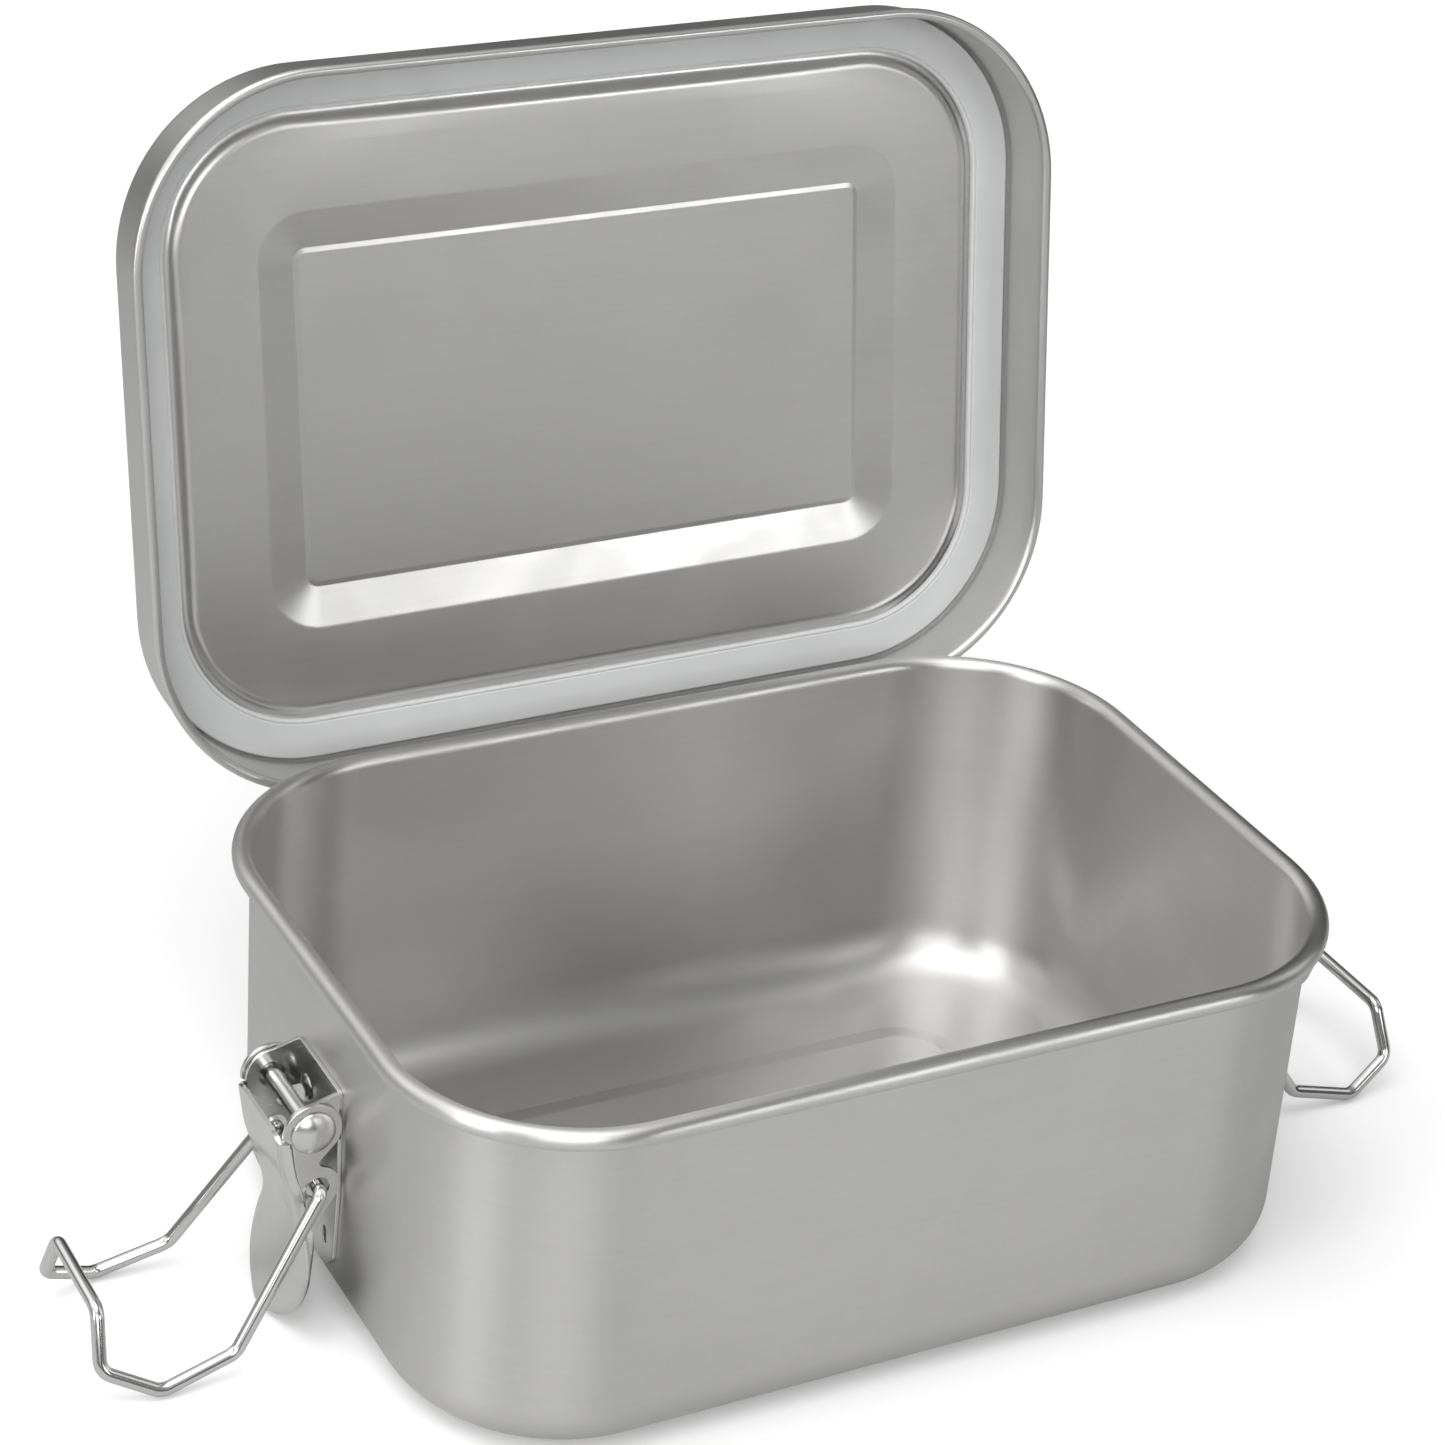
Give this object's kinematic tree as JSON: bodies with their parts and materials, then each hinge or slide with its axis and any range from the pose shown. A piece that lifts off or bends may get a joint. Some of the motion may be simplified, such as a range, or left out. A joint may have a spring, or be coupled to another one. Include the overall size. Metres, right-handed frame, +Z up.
{
  "type": "lunch box",
  "caption": "Rounded steel food box with a rolled rim, a hinged pressed lid with a soft seal, and a wire-bail lever latch on each end.",
  "frame": {"origin": "middle of the flat face that the box stands on", "axes": "+Z up, +X along the box's length towards one latch, +Y towards the hinge; the lid stands open"},
  "size_m": [0.2654, 0.1631, 0.1935],
  "materials": {
    "tub_steel": "satin drawn stainless steel with a polished rolled rim",
    "lid_steel": "satin stainless steel with a fine orange-peel grain on the panel",
    "seal_silicone": "translucent pale grey silicone, smooth",
    "hinge_steel": "bent stainless strip, satin",
    "hinge_pin_steel": "ground stainless rod",
    "latch_steel": "tumbled stainless pressing with rounded bright edges",
    "rivet_steel": "bright domed stainless rivet",
    "wire_steel": "bright polished stainless spring wire"
  },
  "bodies": {
    "box": {"box_body": "tub_steel", "hinge_leaf_box": "hinge_steel", "hinge_pin": "hinge_pin_steel", "latch_bracket_left": "latch_steel", "latch_rivet_left": "rivet_steel", "latch_sleeve_left": "rivet_steel", "latch_bracket_right": "latch_steel", "latch_rivet_right": "rivet_steel", "latch_sleeve_right": "rivet_steel"},
    "lid": {"lid_shell": "lid_steel", "lid_seal": "seal_silicone", "hinge_leaf_lid": "hinge_steel"},
    "lever_left": {"latch_lever_left": "latch_steel"},
    "lever_right": {"latch_lever_right": "latch_steel"},
    "bail_left": {"latch_bail_left": "wire_steel"},
    "bail_right": {"latch_bail_right": "wire_steel"}
  },
  "joints": [
    {"name": "lid_hinge", "type": "hinge", "parent": "box", "child": "lid", "pos_m": [0, 0.06745, 0.0602], "axis": [1, 0, 0], "range_deg": [0, 99.14]},
    {"name": "lever_left_pivot", "type": "hinge", "parent": "box", "child": "lever_left", "pos_m": [-0.09245, 0, 0.042], "axis": [0, -1, 0], "range_deg": [-110, 0]},
    {"name": "bail_left_pivot", "type": "hinge", "parent": "lever_left", "child": "bail_left", "pos_m": [-0.09135, 0, 0.0303], "axis": [0, 1, 0], "range_deg": [-1, 115]},
    {"name": "lever_right_pivot", "type": "hinge", "parent": "box", "child": "lever_right", "pos_m": [0.09245, 0, 0.042], "axis": [0, 1, 0], "range_deg": [-110, 0]},
    {"name": "bail_right_pivot", "type": "hinge", "parent": "lever_right", "child": "bail_right", "pos_m": [0.09135, 0, 0.0303], "axis": [0, -1, 0], "range_deg": [-1, 115]}
  ]
}
